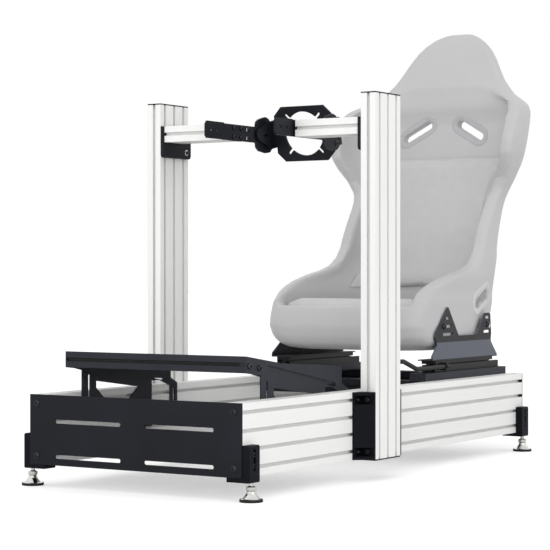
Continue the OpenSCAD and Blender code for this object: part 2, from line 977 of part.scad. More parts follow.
base_rail(1);  // left_base_rail
base_rail(-1);  // right_base_rail
rail_cap(1);  // left_rail_cap
rail_cap(-1);  // right_rail_cap
front_plate();
foot_bracket(1, rail_front - 2);  // front_left_foot_bracket
foot_bracket(-1, rail_front - 2);  // front_right_foot_bracket
foot_bracket(1, rail_rear - foot_block);  // rear_left_foot_bracket
foot_bracket(-1, rail_rear - foot_block);  // rear_right_foot_bracket
levelling_foot(1, rail_front - 2);  // front_left_foot
levelling_foot(-1, rail_front - 2);  // front_right_foot
levelling_foot(1, rail_rear - foot_block);  // rear_left_foot
levelling_foot(-1, rail_rear - foot_block);  // rear_right_foot
upright(1);  // left_upright
upright(-1);  // right_upright
upright_cap(1);  // left_upright_cap
upright_cap(-1);  // right_upright_cap
corner_bracket(1, 0, false);  // left_front_corner_bracket
corner_bracket(-1, 0, false);  // right_front_corner_bracket
corner_bracket(1, upright_depth, true);  // left_rear_corner_bracket
corner_bracket(-1, upright_depth, true);  // right_rear_corner_bracket
crossbar(1);  // left_crossbar
crossbar(-1);  // right_crossbar
crossbar_plate(1);  // left_crossbar_plate
crossbar_plate(-1);  // right_crossbar_plate
mount_arm(1);  // left_mount_arm
mount_arm(-1);  // right_mount_arm
wheel_plate();
pedal_tray();
pedal_side(1);  // left_pedal_side
pedal_side(-1);  // right_pedal_side
cross_member(cross_inset);  // front_cross_member
cross_member(cross_rear);  // rear_cross_member
seat_support(1);  // left_seat_support
seat_support(-1);  // right_seat_support
slider_rail(1);  // left_slider_rail
slider_rail(-1);  // right_slider_rail
slider_carriage(1);  // left_slider_carriage
slider_carriage(-1);  // right_slider_carriage
release_lever();
seat_bracket(1);  // left_seat_bracket
seat_bracket(-1);  // right_seat_bracket
seat_shell();
seat_cushion();
back_cushion();
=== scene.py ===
import json
import math

import bmesh
import bpy
import numpy as np
from mathutils import Matrix, Vector
from mathutils.bvhtree import BVHTree


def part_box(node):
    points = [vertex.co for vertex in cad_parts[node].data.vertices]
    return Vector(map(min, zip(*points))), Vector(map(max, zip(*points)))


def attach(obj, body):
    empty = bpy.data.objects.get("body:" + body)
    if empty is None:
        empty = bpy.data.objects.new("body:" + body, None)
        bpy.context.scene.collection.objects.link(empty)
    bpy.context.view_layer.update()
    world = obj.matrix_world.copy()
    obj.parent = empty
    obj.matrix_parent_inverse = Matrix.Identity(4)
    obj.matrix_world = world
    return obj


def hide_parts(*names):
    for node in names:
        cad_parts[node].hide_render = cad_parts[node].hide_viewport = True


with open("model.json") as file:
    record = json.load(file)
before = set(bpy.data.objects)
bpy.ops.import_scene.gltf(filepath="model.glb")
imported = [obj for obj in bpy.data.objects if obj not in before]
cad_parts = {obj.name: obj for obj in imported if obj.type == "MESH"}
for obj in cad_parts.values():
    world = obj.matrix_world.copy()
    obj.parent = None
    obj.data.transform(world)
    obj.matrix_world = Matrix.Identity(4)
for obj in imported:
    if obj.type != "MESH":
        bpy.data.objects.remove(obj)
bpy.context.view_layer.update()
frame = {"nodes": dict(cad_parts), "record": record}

# Lengths are metres. A place's y runs from the uprights' front faces, its z from the rails' underside.
FRONT_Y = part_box("left_upright")[0].y
RAIL_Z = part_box("left_base_rail")[0].z
HALF_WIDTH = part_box("left_base_rail")[1].x

# A place on the seat has its y from the seat supports' front ends, and its z from their underside.
SEAT_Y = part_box("left_seat_support")[0].y
SEAT_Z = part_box("left_seat_support")[0].z


def at(x, y, z):
    return Vector((x, FRONT_Y + y, RAIL_Z + z))


def by_seat(x, y, z):
    return Vector((x, SEAT_Y + y, SEAT_Z + z))


# camera at the photograph's angle
CAMERA_AZIMUTH = 32.42
CAMERA_PITCH = -0.14
CAMERA_PLACE = at(2.5157, -3.8808, 0.443)
LENS = 124.4
SENSOR = 36.0
FAR_CLIP = 100.0


def make_camera():
    data = bpy.data.cameras.new("camera")
    data.lens = LENS
    data.sensor_width = SENSOR
    data.clip_end = FAR_CLIP
    camera = bpy.data.objects.new("camera", data)
    camera.location = CAMERA_PLACE
    camera.rotation_euler = (math.radians(90 + CAMERA_PITCH), 0, math.radians(CAMERA_AZIMUTH))
    bpy.context.scene.collection.objects.link(camera)
    bpy.context.scene.camera = camera


# small helpers for node trees
RAMP_DARK = 0.3
RAMP_LIGHT = 0.7
EDGE_SAMPLES = 4


def new_material(name):
    mat = bpy.data.materials.new(name)
    mat.use_nodes = True
    nodes = mat.node_tree.nodes
    nodes.clear()
    out = nodes.new("ShaderNodeOutputMaterial")
    shader = nodes.new("ShaderNodeBsdfPrincipled")
    mat.node_tree.links.new(shader.outputs["BSDF"], out.inputs["Surface"])
    return mat, mat.node_tree, shader


def noise(tree, vector, scale, detail):
    node = tree.nodes.new("ShaderNodeTexNoise")
    node.inputs["Scale"].default_value = scale
    node.inputs["Detail"].default_value = detail
    tree.links.new(vector, node.inputs["Vector"])
    return node.outputs["Fac"]


def stretched(tree, scale=(1, 1, 1)):
    coord = tree.nodes.new("ShaderNodeTexCoord")
    mapping = tree.nodes.new("ShaderNodeMapping")
    mapping.inputs["Scale"].default_value = scale
    tree.links.new(coord.outputs["Object"], mapping.inputs["Vector"])
    return mapping.outputs["Vector"]


def spread(tree, value, low, high):
    node = tree.nodes.new("ShaderNodeMapRange")
    node.inputs["To Min"].default_value = low
    node.inputs["To Max"].default_value = high
    tree.links.new(value, node.inputs["Value"])
    return node.outputs["Result"]


def shades(tree, value, dark, light):
    ramp = tree.nodes.new("ShaderNodeValToRGB")
    ramp.color_ramp.elements[0].position = RAMP_DARK
    ramp.color_ramp.elements[0].color = (*dark, 1)
    ramp.color_ramp.elements[1].position = RAMP_LIGHT
    ramp.color_ramp.elements[1].color = (*light, 1)
    tree.links.new(value, ramp.inputs["Fac"])
    return ramp.outputs["Color"]


def bump(tree, height, distance, strength, under=None):
    node = tree.nodes.new("ShaderNodeBump")
    node.inputs["Distance"].default_value = distance
    node.inputs["Strength"].default_value = strength
    tree.links.new(height, node.inputs["Height"])
    if under:
        tree.links.new(under, node.inputs["Normal"])
    return node.outputs["Normal"]


def soft_edges(tree, radius):
    node = tree.nodes.new("ShaderNodeBevel")
    node.samples = EDGE_SAMPLES
    node.inputs["Radius"].default_value = radius
    return node.outputs["Normal"]


# finishes: noise mixes the shades dark and light, and edge is the radius that edges are shaded with
METAL_EDGE = 0.0004
SHEET_EDGE = 0.0008


def mottle(tree, shader, vector, dark, light, scale, detail):
    clouds = noise(tree, vector, scale, detail)
    tree.links.new(shades(tree, clouds, dark, light), shader.inputs["Base Color"])


def vary_roughness(tree, shader, vector, low, high, scale, detail):
    patches = noise(tree, vector, scale, detail)
    tree.links.new(spread(tree, patches, low, high), shader.inputs["Roughness"])


def coat_grain(tree, shader, vector, edge):
    grain = noise(tree, vector, scale=900.0, detail=1.0)
    normal = bump(tree, grain, distance=0.00004, strength=0.6, under=soft_edges(tree, edge))
    tree.links.new(normal, shader.inputs["Normal"])


def powder_coat(name, dark, light, roughness, gloss, edge=SHEET_EDGE, streaks=(1, 1, 1)):
    mat, tree, shader = new_material(name)
    place = stretched(tree)
    mottle(tree, shader, stretched(tree, streaks), dark, light, scale=9.0, detail=4.0)
    vary_roughness(tree, shader, place, roughness - 0.05, roughness + 0.05, scale=60.0, detail=3.0)
    coat_grain(tree, shader, place, edge)
    shader.inputs["Specular IOR Level"].default_value = gloss
    return mat


def metal(name, dark, light, roughness):
    mat, tree, shader = new_material(name)
    place = stretched(tree)
    mottle(tree, shader, place, dark, light, scale=40.0, detail=3.0)
    vary_roughness(tree, shader, place, roughness * 0.7, roughness * 1.3, scale=300.0, detail=2.0)
    shader.inputs["Metallic"].default_value = 1.0
    brushed = noise(tree, stretched(tree, (1, 1, 30)), scale=60.0, detail=2.0)
    normal = bump(tree, brushed, distance=0.00001, strength=0.3, under=soft_edges(tree, METAL_EDGE))
    tree.links.new(normal, shader.inputs["Normal"])
    return mat


def moulded(name, dark, light, roughness, gloss):
    mat, tree, shader = new_material(name)
    place = stretched(tree)
    mottle(tree, shader, place, dark, light, scale=25.0, detail=3.0)
    vary_roughness(tree, shader, place, roughness - 0.06, roughness + 0.06, scale=80.0, detail=2.0)
    pores = noise(tree, place, scale=1400.0, detail=2.0)
    normal = bump(tree, pores, distance=0.00005, strength=0.5, under=soft_edges(tree, SHEET_EDGE))
    tree.links.new(normal, shader.inputs["Normal"])
    shader.inputs["Specular IOR Level"].default_value = gloss
    return mat


def gel_coat(name, dark, light):
    mat, tree, shader = new_material(name)
    place = stretched(tree)
    mottle(tree, shader, place, dark, light, scale=5.0, detail=4.0)
    vary_roughness(tree, shader, place, 0.40, 0.52, scale=30.0, detail=3.0)
    ripple = noise(tree, place, scale=160.0, detail=2.0)
    tree.links.new(bump(tree, ripple, distance=0.0002, strength=0.25), shader.inputs["Normal"])
    shader.inputs["Specular IOR Level"].default_value = 0.35
    shader.inputs["Coat Weight"].default_value = 0.15
    shader.inputs["Coat Roughness"].default_value = 0.3
    return mat


# Painted top light: folded steel sheet is paler where it faces upwards, as if lit from above; it starts at
# the first value below in its normal's z and is whole at the second.
SLOPE_START = 0.06
SLOPE_END = 0.16
COLOUR_A, COLOUR_B, MIXED_COLOUR = 6, 7, 2


def steel_with_painted_top_light(name, dark, light, painted_top_light):
    mat, tree, shader = new_material(name)
    place = stretched(tree)
    coord = tree.nodes.new("ShaderNodeTexCoord")
    axes = tree.nodes.new("ShaderNodeSeparateXYZ")
    tree.links.new(coord.outputs["Normal"], axes.inputs[0])
    top_light_mask = tree.nodes.new("ShaderNodeMapRange")
    top_light_mask.inputs["From Min"].default_value = SLOPE_START
    top_light_mask.inputs["From Max"].default_value = SLOPE_END
    tree.links.new(axes.outputs["Z"], top_light_mask.inputs["Value"])
    mix = tree.nodes.new("ShaderNodeMix")
    mix.data_type = "RGBA"
    tree.links.new(top_light_mask.outputs["Result"], mix.inputs["Factor"])
    # level faces keep the steel's dark shades; upward faces get the pale shades of painted top light
    level = shades(tree, noise(tree, place, scale=9.0, detail=4.0), dark, light)
    dimmer_top_light = [v * 0.94 for v in painted_top_light]
    top_light_shades = shades(tree, noise(tree, place, scale=12.0, detail=4.0), dimmer_top_light, painted_top_light)
    tree.links.new(level, mix.inputs[COLOUR_A])
    tree.links.new(top_light_shades, mix.inputs[COLOUR_B])
    tree.links.new(mix.outputs[MIXED_COLOUR], shader.inputs["Base Color"])
    vary_roughness(tree, shader, place, 0.36, 0.46, scale=60.0, detail=3.0)
    coat_grain(tree, shader, place, SHEET_EDGE)
    shader.inputs["Specular IOR Level"].default_value = 0.2
    return mat


def knit(name, dark, light):
    mat, tree, shader = new_material(name)
    place = stretched(tree)
    mottle(tree, shader, place, dark, light, scale=35.0, detail=4.0)
    shader.inputs["Roughness"].default_value = 0.85
    shader.inputs["Sheen Weight"].default_value = 0.1
    shader.inputs["Sheen Roughness"].default_value = 0.5
    cells = tree.nodes.new("ShaderNodeTexVoronoi")
    cells.inputs["Scale"].default_value = 420.0
    tree.links.new(place, cells.inputs["Vector"])
    weave = bump(tree, cells.outputs["Distance"], distance=0.0006, strength=0.5)
    tree.links.new(weave, shader.inputs["Normal"])
    return mat


WHITE = powder_coat(
    "white_coat", (0.80, 0.80, 0.785), (0.86, 0.86, 0.85),
    roughness=0.42, gloss=0.3, edge=0.0009, streaks=(1, 0.2, 0.2),
)
BLACK = powder_coat("black_coat", (0.005, 0.0058, 0.009), (0.008, 0.009, 0.014), roughness=0.42, gloss=0.17)
DEEP_BLACK = powder_coat(
    "deep_black_coat", (0.0035, 0.004, 0.006), (0.005, 0.0058, 0.008), roughness=0.5, gloss=0.09
)
GREY_BLACK = powder_coat(
    "grey_black_coat", (0.014, 0.016, 0.023), (0.020, 0.022, 0.031), roughness=0.42, gloss=0.22
)
DARK_STEEL = powder_coat(
    "dark_steel", (0.004, 0.004, 0.006), (0.008, 0.008, 0.010), roughness=0.32, gloss=0.2, edge=0.0006
)
PLASTIC = moulded("black_plastic", (0.004, 0.004, 0.006), (0.007, 0.007, 0.009), roughness=0.5, gloss=0.18)
# seat brackets: black steel with painted top light on their upward faces
TOP_LIT_BRACKET = steel_with_painted_top_light(
    "bracket_steel_painted_top_light", (0.016, 0.017, 0.019), (0.022, 0.023, 0.026), painted_top_light=(0.122, 0.134, 0.166)
)
RUBBER = moulded("black_rubber", (0.006, 0.009, 0.008), (0.010, 0.014, 0.012), roughness=0.7, gloss=0.25)
CHROME = metal("chrome", (0.62, 0.61, 0.58), (0.78, 0.78, 0.76), roughness=0.10)
STEEL = metal("zinc_steel", (0.55, 0.55, 0.56), (0.72, 0.72, 0.74), roughness=0.24)
BLACK_STEEL = metal("black_oxide", (0.03, 0.03, 0.034), (0.06, 0.06, 0.066), roughness=0.35)
SHELL = gel_coat("seat_gel_coat", (0.475, 0.475, 0.479), (0.500, 0.500, 0.504))
TRIM = gel_coat("seat_trim", (0.415, 0.415, 0.43), (0.44, 0.44, 0.455))
PALE_TRIM = gel_coat("pale_seat_trim", (0.53, 0.53, 0.55), (0.57, 0.57, 0.59))
CLOTH = knit("seat_knit", (0.50, 0.50, 0.504), (0.525, 0.525, 0.529))

SLOT_FINISHES = {
    "white_profile": WHITE,
    "black_metal": BLACK,
    "grey_black_metal": GREY_BLACK,
    "dark_steel": DARK_STEEL,
    "black_plastic": PLASTIC,
    "bright_metal": CHROME,
    "seat_body": SHELL,
    "seat_cloth": CLOTH,
}


def dress(node, mat):
    mesh = frame["nodes"][node].data
    mesh.materials.clear()
    mesh.materials.append(mat)


def dress_nodes():
    for part in frame["record"]["subparts"]:
        node = part["node"]
        if node.endswith(("foot_bracket", "corner_bracket")):
            dress(node, DEEP_BLACK)
        # the seat brackets get the steel with painted top light
        elif node.endswith("seat_bracket"):
            dress(node, TOP_LIT_BRACKET)
        else:
            dress(node, SLOT_FINISHES[part["material_slot"]])


# white surroundings, and a pale floor that glows a little for the camera alone
AMBIENT = 1.0
BACKDROP = 1.0
FLOOR_HALF = 30.0
FLOOR_SHADE = 0.75
FLOOR_GLOW = 0.38


def make_world():
    scene = bpy.context.scene
    scene.view_settings.view_transform = "Standard"
    world = bpy.data.worlds.new("studio")
    world.use_nodes = True
    tree = world.node_tree
    tree.nodes.clear()
    out = tree.nodes.new("ShaderNodeOutputWorld")
    rays = tree.nodes.new("ShaderNodeLightPath")
    seen = rays.outputs["Is Camera Ray"]
    for kind in ("Is Transmission Ray", "Is Glossy Ray"):
        either = tree.nodes.new("ShaderNodeMath")
        either.operation = "MAXIMUM"
        tree.links.new(seen, either.inputs[0])
        tree.links.new(rays.outputs[kind], either.inputs[1])
        seen = either.outputs[0]
    mix = tree.nodes.new("ShaderNodeMixShader")
    tree.links.new(seen, mix.inputs[0])
    for slot, strength in ((1, AMBIENT), (2, BACKDROP)):
        sky = tree.nodes.new("ShaderNodeBackground")
        sky.inputs["Color"].default_value = (1, 1, 1, 1)
        sky.inputs["Strength"].default_value = strength
        tree.links.new(sky.outputs[0], mix.inputs[slot])
    tree.links.new(mix.outputs[0], out.inputs["Surface"])
    scene.world = world


def make_floor():
    half = FLOOR_HALF
    corners = [(-half, -half, 0), (half, -half, 0), (half, half, 0), (-half, half, 0)]
    mesh = bpy.data.meshes.new("floor")
    mesh.from_pydata(corners, [], [(0, 1, 2, 3)])
    floor = bpy.data.objects.new("floor", mesh)
    bpy.context.scene.collection.objects.link(floor)
    mat = bpy.data.materials.new("floor_white")
    mat.use_nodes = True
    tree = mat.node_tree
    tree.nodes.clear()
    out = tree.nodes.new("ShaderNodeOutputMaterial")
    rays = tree.nodes.new("ShaderNodeLightPath")
    matte = tree.nodes.new("ShaderNodeBsdfDiffuse")
    matte.inputs["Color"].default_value = (FLOOR_SHADE, FLOOR_SHADE, FLOOR_SHADE, 1)
    glow = tree.nodes.new("ShaderNodeEmission")
    share = tree.nodes.new("ShaderNodeMath")
    share.operation = "MULTIPLY"
    share.inputs[1].default_value = FLOOR_GLOW
    both = tree.nodes.new("ShaderNodeAddShader")
    tree.links.new(rays.outputs["Is Camera Ray"], share.inputs[0])
    tree.links.new(share.outputs[0], glow.inputs["Strength"])
    tree.links.new(matte.outputs[0], both.inputs[0])
    tree.links.new(glow.outputs[0], both.inputs[1])
    tree.links.new(both.outputs[0], out.inputs["Surface"])
    mesh.materials.append(mat)


# soft square lights, aimed at the object's middle: name, place, side in metres and power in watts
MIDDLE = Vector((0, 0, 0.5))
LIGHTS = (
    ("key", (4.0, -1.2, 2.2), 2.5, 17),
    ("fill", (2.6, -5.2, 1.6), 3.0, 62),
    ("low", (-0.8, -4.0, 0.9), 1.6, 14),
)


def make_lights():
    for name, place, size, power in LIGHTS:
        data = bpy.data.lights.new(name, "AREA")
        data.shape = "SQUARE"
        data.size = size
        data.energy = power
        lamp = bpy.data.objects.new(name, data)
        lamp.location = place
        direction = MIDDLE - Vector(place)
        lamp.rotation_euler = direction.to_track_quat("-Z", "Y").to_euler()
        bpy.context.scene.collection.objects.link(lamp)


# small helpers for meshes
SHARP = 40


def shade_smooth(mesh):
    mesh.polygons.foreach_set("use_smooth", [True] * len(mesh.polygons))


def mesh_from(bm, name):
    mesh = bpy.data.meshes.new(name)
    bm.to_mesh(mesh)
    bm.free()
    return mesh


def bridge(bm, low, high):
    count = len(low)
    for k in range(count):
        n = (k + 1) % count
        bm.faces.new((low[k], low[n], high[n], high[k]))


def add_piece(name, bm, mat, body, sharp=SHARP):
    mesh = mesh_from(bm, name)
    mesh.materials.append(mat)
    piece = bpy.data.objects.new(name, mesh)
    bpy.context.scene.collection.objects.link(piece)
    shade_smooth(mesh)
    mesh.set_sharp_from_angle(angle=math.radians(sharp))
    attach(piece, body)


# Turned pieces. A profile's points are (radius, height, True where the ring is a hexagon), in millimetres.
HEX_STEP = 60
MM = 0.001
SEGMENTS = 36


def turned_rings(bm, profile, place, axis, segments):
    turn = Vector((0, 0, 1)).rotation_difference(Vector(axis).normalized())
    rings = []
    for radius, height, hexagon in profile:
        ring = []
        for k in range(segments):
            angle = 360 * k / segments
            r = radius * MM
            if hexagon:
                r /= math.cos(math.radians((angle + HEX_STEP / 2) % HEX_STEP - HEX_STEP / 2))
            around = math.radians(angle)
            spot = Vector((r * math.cos(around), r * math.sin(around), height * MM))
            ring.append(bm.verts.new(place + turn @ spot))
        rings.append(ring)
    for low, high in zip(rings, rings[1:]):
        bridge(bm, low, high)
    bm.faces.new(list(reversed(rings[0])))
    bm.faces.new(rings[-1])


def turned(name, profile, spots, mat, body, segments=SEGMENTS):
    bm = bmesh.new()
    for place, axis in spots:
        turned_rings(bm, profile, place, axis, segments)
    add_piece(name, bm, mat, body)


def screws(name, profile, spots, body="frame"):
    turned(name, profile, spots, BLACK_STEEL, body)


# Heads with a hexagonal socket, and washers. Each starts a little under the face that it lies on.
HEAD_SUNK = -0.4
WASHER_SUNK = -0.3
LEAST_HOLE = 0.5


def button_head(radius):
    r = radius
    return [
        (r, HEAD_SUNK, False), (r, 0.25 * r, False), (0.86 * r, 0.52 * r, False), (0.62 * r, 0.66 * r, False),
        (0.42 * r, 0.66 * r, True), (0.40 * r, 0.2 * r, True), (0.30 * r, 0.15 * r, False),
    ]


def cap_head(radius):
    r = radius
    return [
        (r, HEAD_SUNK, False), (r, 0.9 * r, False), (0.92 * r, r, False), (0.52 * r, r, False),
        (0.50 * r, 0.96 * r, True), (0.50 * r, 0.4 * r, True), (0.3 * r, 0.35 * r, False),
    ]


def washer(radius, bore=0.0, thick=1.4):
    hole = max(bore, LEAST_HOLE)
    return [
        (radius, WASHER_SUNK, False), (radius, thick - 0.3, False), (radius - 0.4, thick, False),
        (hole, thick, False), (hole - 0.1, thick - 0.3, False),
    ]


# Places are given for the left side and mirrored to the right.
FORWARD = (0, -1, 0)
OUTWARD = (1, 0, 0)
INWARD = (-1, 0, 0)
UPWARD = (0, 0, 1)


def mirrored(points, axes):
    spots = []
    for place, axis in zip(points, axes):
        for side in (1, -1):
            spot = Vector((side * place.x, place.y, place.z))
            spots.append((spot, (side * axis[0], axis[1], axis[2])))
    return spots


def facing(points, axis):
    return mirrored(points, [axis] * len(points))


# Fasteners. X is from the middle, Y from the uprights' front faces and Z from the rails' underside, but
# - the crossbar plate's REAR is from the upright's rear face and its Z from its own lower edge,
# - the arms' Z (screws, stop and pivot) is from the crossbar's underside,
# - the tray's Y is from its side's front end and its DROP from its top, along its slope,
# - the seat's Y and Z are from the seat supports, and so is the pin's Z,
# - the pin's Y is from its carriage's front end.
PLATE_SCREW_X = 0.270
PLATE_SCREW_Z = (0.020, 0.140)
FOOT_SCREW_INSET = 0.006
FOOT_SCREW_Z = (0.026, 0.050)
CORNER_SCREW_Z = (0.018, 0.140)
CORNER_SHEET = 0.005
CORNER_LEG_MIDDLE = 0.0225
BAR_SCREW_REAR = 0.020
BAR_SCREW_Z = 0.016
ARM_SCREW_Y = (0.044, 0.076, 0.108)
ARM_SCREW_Z = (0.009, 0.031)
ARM_STOP_Y = 0.206
ARM_STOP_Z = -0.005
PIVOT_Y = 0.155
PIVOT_Z = 0.021
TRAY_SCREW_Y = (0.013, 0.052)
TRAY_SCREW_DROP = 0.020
TRAY_SLOPE = 0.15
SEAT_SCREW_X = 0.239
SEAT_SCREW_Y = (0.124, 0.376)
SEAT_SCREW_Z = 0.137
PIN_Y = 0.042
PIN_Z = 0.034


def make_fasteners():
    plate_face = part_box("front_plate")[0].y - FRONT_Y
    spots = facing([at(PLATE_SCREW_X, plate_face, z) for z in PLATE_SCREW_Z], FORWARD)
    screws("plate_screw_rings", washer(7.6, bore=4.0, thick=1.6), spots)
    screws("plate_screws", button_head(5.4), spots)

    for end in ("front", "rear"):
        low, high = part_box(end + "_left_foot_bracket")
        middle = (low.y + high.y) / 2
        points = [Vector((high.x - FOOT_SCREW_INSET, middle, RAIL_Z + z)) for z in FOOT_SCREW_Z]
        screws(end + "_foot_bracket_screws", cap_head(5.2), facing(points, OUTWARD))

    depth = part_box("left_upright")[1].y - FRONT_Y
    points = []
    axes = []
    for z in CORNER_SCREW_Z:
        for y, way in ((0, -1), (depth, 1)):
            points.append(at(HALF_WIDTH + CORNER_LEG_MIDDLE, y + way * CORNER_SHEET, z))
            axes.append((0, way, 0))
            points.append(at(HALF_WIDTH + CORNER_SHEET, y + way * CORNER_LEG_MIDDLE, z))
            axes.append(OUTWARD)
    screws("corner_screws", cap_head(5.6), mirrored(points, axes))

    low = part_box("left_crossbar_plate")[0]
    point = Vector((low.x, low.y + depth - BAR_SCREW_REAR, low.z + BAR_SCREW_Z))
    spots = facing([point], INWARD)
    turned("crossbar_plate_washers", washer(7.4), spots, STEEL, "frame")
    screws("crossbar_plate_screws", button_head(5.4), spots)

    low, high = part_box("left_mount_arm")
    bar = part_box("left_crossbar")[0].z
    points = [Vector((low.x, FRONT_Y + y, bar + z)) for y in ARM_SCREW_Y for z in ARM_SCREW_Z]
    screws("arm_screws", button_head(5.6), facing(points, INWARD))
    spots = facing([Vector((high.x, FRONT_Y + ARM_STOP_Y, bar + ARM_STOP_Z))], OUTWARD)
    screws("arm_stop_washers", washer(8.0), spots)
    screws("arm_stop_screws", button_head(5.6), spots)
    spots = facing([Vector((high.x, FRONT_Y + PIVOT_Y, bar + PIVOT_Z))], OUTWARD)
    screws("pivot_screws", button_head(7.0), spots)

    low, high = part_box("left_pedal_side")
    top = high.z - TRAY_SCREW_DROP
    points = [Vector((high.x, low.y + y, top - TRAY_SLOPE * y)) for y in TRAY_SCREW_Y]
    screws("tray_screws", button_head(7.0), facing(points, OUTWARD))

    points = [by_seat(SEAT_SCREW_X, y, SEAT_SCREW_Z) for y in SEAT_SCREW_Y]
    screws("seat_screws", button_head(7.5), facing(points, OUTWARD), "seat")

    low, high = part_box("left_slider_carriage")
    spots = [(Vector((high.x, low.y + PIN_Y, SEAT_Z + PIN_Z)), OUTWARD)]
    screws("lever_pin_head", button_head(5.0), spots, "seat")


# rubber rims around the levelling feet's pads
FOOT_RIM = (
    (24.6, 0.0, False), (25.3, 0.4, False), (25.3, 5.4, False),
    (24.8, 6.2, False), (24.0, 6.2, False), (23.0, 5.0, False),
)
FOOT_SEGMENTS = 64


def make_foot_rims():
    for end in ("front", "rear"):
        low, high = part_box(end + "_left_foot")
        place = Vector(((low.x + high.x) / 2, (low.y + high.y) / 2, 0))
        spots = facing([place], UPWARD)
        turned(end + "_foot_rims", FOOT_RIM, spots, RUBBER, "frame", FOOT_SEGMENTS)


def make_block(name, size, middle, mat):
    bm = bmesh.new()
    bmesh.ops.create_cube(bm, size=1.0)
    fit = Matrix.Translation(middle) @ Matrix.Diagonal((*size, 1))
    bmesh.ops.transform(bm, matrix=fit, verts=bm.verts)
    add_piece(name, bm, mat, "frame")


# caps on the crossbars' inner ends, as thin sleeves
SLEEVE = 0.0004
SLEEVE_DEPTH = 0.004


def make_sleeves():
    for side, name in ((1, "left"), (-1, "right")):
        low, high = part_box(name + "_crossbar")
        inner = low.x if side > 0 else high.x
        size = (SLEEVE_DEPTH, high.y - low.y + 2 * SLEEVE, high.z - low.z + 2 * SLEEVE)
        middle = (inner + side * SLEEVE_DEPTH / 2, (low.y + high.y) / 2, (low.z + high.z) / 2)
        make_block(name + "_crossbar_cap", size, middle, PLASTIC)


# painted shadow: a dark sheet on the floor of the groove along the tray's front stands in for the groove's
# shade
GROOVE_DEPTH = 0.005
GROOVE_HALF = 0.0038
GROOVE_DROP = 0.0185
SHADOW_SHEET = 0.0006
SHADOW_SHEET_SHORT = 0.020
SHADOW_SHEET_SHIFT = 0.008


def make_groove_painted_shadow():
    low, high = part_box("pedal_tray")
    size = (high.x - low.x - SHADOW_SHEET_SHORT, SHADOW_SHEET, 2 * GROOVE_HALF)
    middle = (
        (low.x + high.x) / 2 - SHADOW_SHEET_SHIFT,
        low.y + GROOVE_DEPTH - SHADOW_SHEET / 2,
        high.z - GROOVE_DROP,
    )
    # the black rubber finish here is painted shadow in the groove
    make_block("tray_groove_painted_shadow", size, middle, RUBBER)


# soft and moulded forms, made from copies of the solids
def solid_copy(node):
    mesh = frame["nodes"][node].data.copy()
    mesh.materials.clear()
    piece = bpy.data.objects.new(node + "_form", mesh)
    bpy.context.scene.collection.objects.link(piece)
    return piece


def applied(piece):
    bpy.context.view_layer.update()
    graph = bpy.context.evaluated_depsgraph_get()
    mesh = bpy.data.meshes.new_from_object(piece.evaluated_get(graph))
    piece.modifiers.clear()
    piece.data = mesh
    return mesh


def remeshed(piece, voxel):
    change = piece.modifiers.new("remesh", "REMESH")
    change.mode = "VOXEL"
    change.voxel_size = voxel
    return applied(piece)


def points_of(mesh):
    flat = np.empty(len(mesh.vertices) * 3)
    mesh.vertices.foreach_get("co", flat)
    return flat.reshape(-1, 3)


def put_points(mesh, points):
    mesh.vertices.foreach_set("co", points.ravel())
    mesh.update()


def normals_of(mesh):
    flat = np.empty(len(mesh.vertices) * 3)
    mesh.vertex_normals.foreach_get("vector", flat)
    return flat.reshape(-1, 3)


# Smoothing pulls each point to its neighbours' mean and pushes it back out, so that the form doesn't shrink.
PULL_AND_PUSH = (0.5, -0.53)


def smoothed(mesh, rounds, weight=1.0):
    points = points_of(mesh)
    edges = np.empty(len(mesh.edges) * 2, dtype=np.int64)
    mesh.edges.foreach_get("vertices", edges)
    edges = edges.reshape(-1, 2)
    count = len(points)
    degree = np.maximum(np.bincount(edges.ravel(), minlength=count), 1)
    for _ in range(rounds):
        for step in PULL_AND_PUSH:
            total = np.zeros_like(points)
            for here, there in (edges.T, edges.T[::-1]):
                for k in range(3):
                    total[:, k] += np.bincount(here, weights=points[there, k], minlength=count)
            points += step * (total / degree[:, None] - points) * weight
    put_points(mesh, points)


def eased(values, span):
    t = np.clip((values - span[0]) / (span[1] - span[0]), 0, 1)
    return t * t * (3 - 2 * t)


def surface_tree(piece):
    mesh = piece.data
    return BVHTree.FromPolygons([v.co for v in mesh.vertices], [p.vertices for p in mesh.polygons])


def inside(tree, points):
    flags = np.zeros(len(points), dtype=bool)
    for i, point in enumerate(points):
        spot = Vector(point)
        near, normal = tree.find_nearest(spot)[:2]
        flags[i] = (spot - near).dot(normal) < 0
    return flags


# The seat's openings: (across, height, turn in degrees, length, width). For LAP, across is fore and aft.
SOLID_HARNESS = (0.084, 0.678, 32, 0.074, 0.017)
HARNESS = (0.084, 0.681, -30, 0.097, 0.023)
LAP = (0.365, 0.206, 23, 0.090, 0.026)
OUTLINE_STEPS = 16


def from_slot(x, y, turn, length, width):
    a = np.radians(turn)
    u = np.maximum(np.abs(x * np.cos(a) + y * np.sin(a)) - (length - width) / 2, 0)
    return np.hypot(u, -x * np.sin(a) + y * np.cos(a)) - width / 2


def slot_outline(slot, grow, side=1):
    x, z, turn, length, width = slot
    a = math.radians(turn) * side
    outline = []
    for half in (1, -1):
        for i in range(OUTLINE_STEPS + 1):
            b = math.pi * (1 - half / 2 - i / OUTLINE_STEPS)
            u = half * (length - width) / 2 + (width / 2 + grow) * math.cos(b)
            v = (width / 2 + grow) * math.sin(b)
            across = side * x + u * math.cos(a) - v * math.sin(a)
            outline.append((across, z + u * math.sin(a) + v * math.cos(a)))
    return outline


# The solid's harness openings turn the other way from the photograph's: their walls are taken out, and the
# holes that this leaves are filled.
MERGE = 0.00001
ON_WALL = 0.0008


